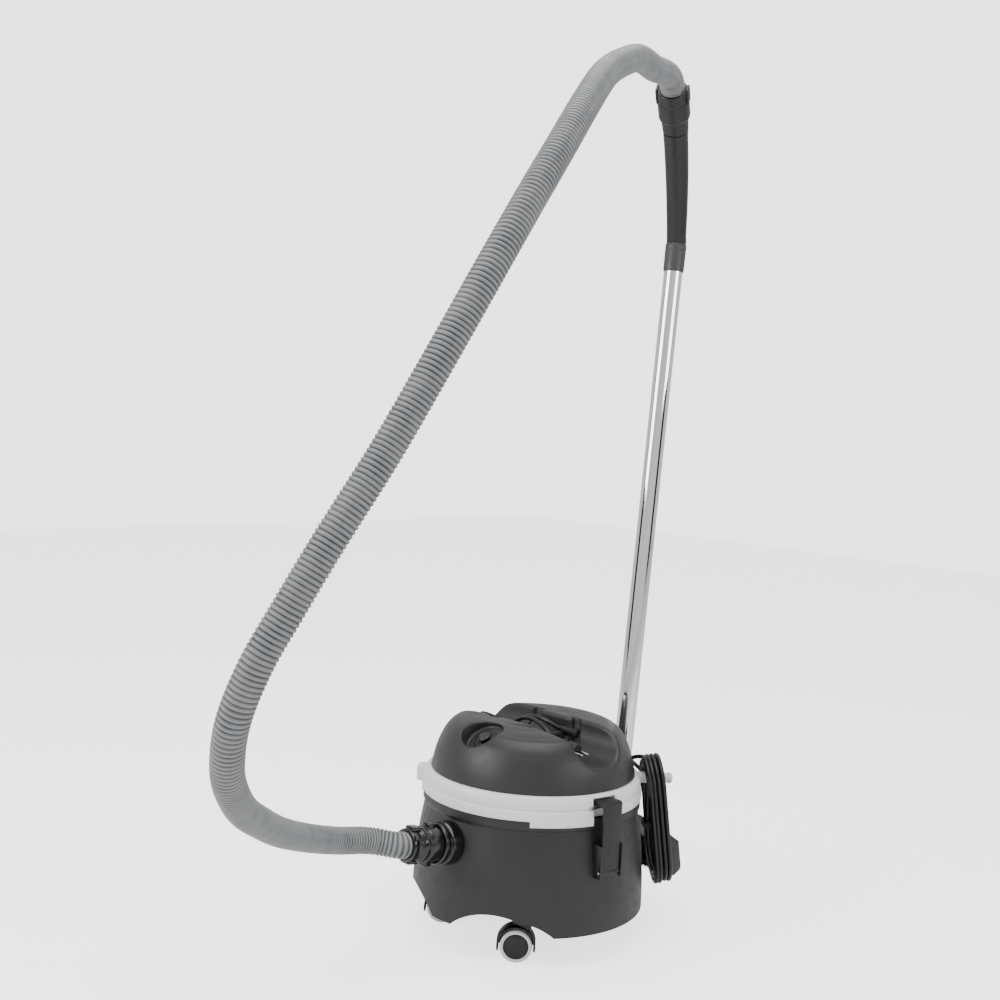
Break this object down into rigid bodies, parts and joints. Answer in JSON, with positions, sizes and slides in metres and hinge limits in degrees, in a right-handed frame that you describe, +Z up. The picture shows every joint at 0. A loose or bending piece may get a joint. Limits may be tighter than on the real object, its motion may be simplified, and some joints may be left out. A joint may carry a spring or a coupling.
{
  "type": "tub vacuum cleaner",
  "caption": "Tub vacuum cleaner on swivel casters with a latched motor head, corrugated hose and a chrome wand parked upright at the back.",
  "frame": {"origin": "on the floor, at the middle of the footprint of the machine with its parked wand, its free cord and hose left out", "axes": "+Z up; the hose inlet faces -Y; the parked wand stands at +Y; +X is the side of the coiled mains cord"},
  "size_m": [0.5879, 1.0763, 1.3898],
  "materials": {
    "tub_grey": "moulded, fine matt grain",
    "head_grey": "moulded, satin",
    "pale_plastic": "moulded, satin pale grey",
    "black_plastic": "moulded, satin black",
    "gloss_black": "moulded, glossy black",
    "sleeve_grey": "moulded, satin dark grey",
    "chrome": "bright plated tube",
    "steel": "plain steel",
    "hose_grey": "flexible corrugated, silver grey",
    "cord_black": "smooth flexible sheath",
    "filter_cloth": "pleated or bonded filter cloth",
    "card": "pressed card",
    "rubber": "soft black rubber",
    "bristle": "dense nylon bristle",
    "copper": "wound copper and moulded fan"
  },
  "bodies": {
    "root": {"tub_shell": "tub_grey", "inlet_flange": "gloss_black", "bag_collar": "card", "filter_bag": "filter_cloth", "latch_bracket_right": "black_plastic", "latch_bracket_left": "black_plastic", "latch_pin_right": "steel", "latch_pin_left": "steel", "parking_bracket": "black_plastic", "bracket_screw_1": "steel", "bracket_screw_2": "steel", "bracket_screw_3": "steel", "bracket_screw_4": "steel", "hose": "hose_grey"},
    "head": {"head_shell": "head_grey", "bumper_ring": "pale_plastic", "head_seal": "rubber", "motor_deck": "black_plastic", "motor_can": "steel", "cartridge_filter": "filter_cloth", "switch_plate": "black_plastic", "cord_gland": "rubber", "cord_hook": "pale_plastic", "catch_rod_right": "steel", "catch_rod_left": "steel", "cord_tail": "cord_black", "cord_end": "cord_black", "cord_hank": "cord_black", "cord_plug": "black_plastic", "hank_tie": "black_plastic"},
    "rotor": {"fan_rotor": "copper"},
    "switch": {"switch_button": "head_grey"},
    "connector": {"hose_connector": "gloss_black"},
    "wand": {"wand_tube": "chrome", "wand_sleeve": "sleeve_grey", "grip": "black_plastic", "nozzle_neck": "black_plastic"},
    "cuff": {"hose_cuff": "black_plastic"},
    "cuff_release": {"cuff_button": "black_plastic"},
    "nozzle": {"nozzle_body": "black_plastic", "brush_strip_front": "bristle", "brush_strip_rear": "bristle", "nozzle_pivot_pin": "steel", "pedal_pin": "steel"},
    "pedal": {"nozzle_pedal": "sleeve_grey"},
    "latch_right": {"latch_right": "black_plastic"},
    "latch_left": {"latch_left": "black_plastic"},
    "hood_front_right": {"caster_hood_front_right": "black_plastic"},
    "wheel_front_right": {"caster_wheel_front_right": "pale_plastic"},
    "hood_front_left": {"caster_hood_front_left": "black_plastic"},
    "wheel_front_left": {"caster_wheel_front_left": "pale_plastic"},
    "hood_rear_right": {"caster_hood_rear_right": "black_plastic"},
    "wheel_rear_right": {"caster_wheel_rear_right": "pale_plastic"},
    "hood_rear_left": {"caster_hood_rear_left": "black_plastic"},
    "wheel_rear_left": {"caster_wheel_rear_left": "pale_plastic"}
  },
  "joints": [
    {"name": "latch_swing_right", "type": "hinge", "parent": "root", "child": "latch_right", "pos_m": [0.19045, -0.03765, 0.145], "axis": [0.1045, 0.9945, 0], "range_deg": [0, 110]},
    {"name": "latch_swing_left", "type": "hinge", "parent": "root", "child": "latch_left", "pos_m": [-0.19045, -0.03765, 0.145], "axis": [0.1045, -0.9945, 0], "range_deg": [0, 110]},
    {"name": "head_lift", "type": "slide", "parent": "root", "child": "head", "axis": [0, 0, 1], "range_m": [0, 0.18]},
    {"name": "fan_spin", "type": "hinge", "parent": "head", "child": "rotor", "pos_m": [0, -0.01763, 0.25], "axis": [0, 0, 1], "continuous": true},
    {"name": "switch_press", "type": "slide", "parent": "head", "child": "switch", "axis": [0, 0.5299, -0.848], "range_m": [0, 0.003], "stiffness_N_per_m": 700, "springref_m": -0.001},
    {"name": "connector_turn", "type": "hinge", "parent": "root", "child": "connector", "pos_m": [0, -0.25529, 0.1774], "axis": [0, -0.9903, 0.1392], "range_deg": [0, 30]},
    {"name": "wand_park", "type": "slide", "parent": "root", "child": "wand", "axis": [0, 1, 0], "range_m": [0, 0.1], "deforming": ["hose"]},
    {"name": "cuff_swivel", "type": "hinge", "parent": "wand", "child": "cuff", "pos_m": [0.07697, 0.15086, 1.3295], "axis": [0.4096, -0.6644, 0.6252], "continuous": true},
    {"name": "cuff_release_press", "type": "slide", "parent": "cuff", "child": "cuff_release", "axis": [0.2868, -0.5568, -0.7796], "range_m": [0, 0.0018], "stiffness_N_per_m": 900, "springref_m": -0.001},
    {"name": "nozzle_tilt", "type": "hinge", "parent": "wand", "child": "nozzle", "pos_m": [0, 0.1946, 0.1331], "axis": [1, 0, 0], "range_deg": [0, 50]},
    {"name": "pedal_rock", "type": "hinge", "parent": "nozzle", "child": "pedal", "pos_m": [0, 0.22603, 0.10473], "axis": [1, 0, 0], "range_deg": [-8, 8]},
    {"name": "swivel_front_right", "type": "hinge", "parent": "root", "child": "hood_front_right", "pos_m": [0.10281, -0.12409, 0.07], "axis": [0, 0, 1], "continuous": true},
    {"name": "roll_front_right", "type": "hinge", "parent": "hood_front_right", "child": "wheel_front_right", "pos_m": [0.09418, -0.13243, 0.025], "axis": [-0.6947, 0.7193, 0], "continuous": true},
    {"name": "swivel_front_left", "type": "hinge", "parent": "root", "child": "hood_front_left", "pos_m": [-0.10281, -0.12409, 0.07], "axis": [0, 0, 1], "continuous": true},
    {"name": "roll_front_left", "type": "hinge", "parent": "hood_front_left", "child": "wheel_front_left", "pos_m": [-0.09447, -0.11546, 0.025], "axis": [0.7193, -0.6947, 0], "continuous": true},
    {"name": "swivel_rear_right", "type": "hinge", "parent": "root", "child": "hood_rear_right", "pos_m": [0.074, 0.11054, 0.07], "axis": [0, 0, 1], "continuous": true},
    {"name": "roll_rear_right", "type": "hinge", "parent": "hood_rear_right", "child": "wheel_rear_right", "pos_m": [0.08, 0.12093, 0.025], "axis": [0.866, -0.5, 0], "continuous": true},
    {"name": "swivel_rear_left", "type": "hinge", "parent": "root", "child": "hood_rear_left", "pos_m": [-0.074, 0.11054, 0.07], "axis": [0, 0, 1], "continuous": true},
    {"name": "roll_rear_left", "type": "hinge", "parent": "hood_rear_left", "child": "wheel_rear_left", "pos_m": [-0.08, 0.12093, 0.025], "axis": [0.866, 0.5, 0], "continuous": true}
  ]
}
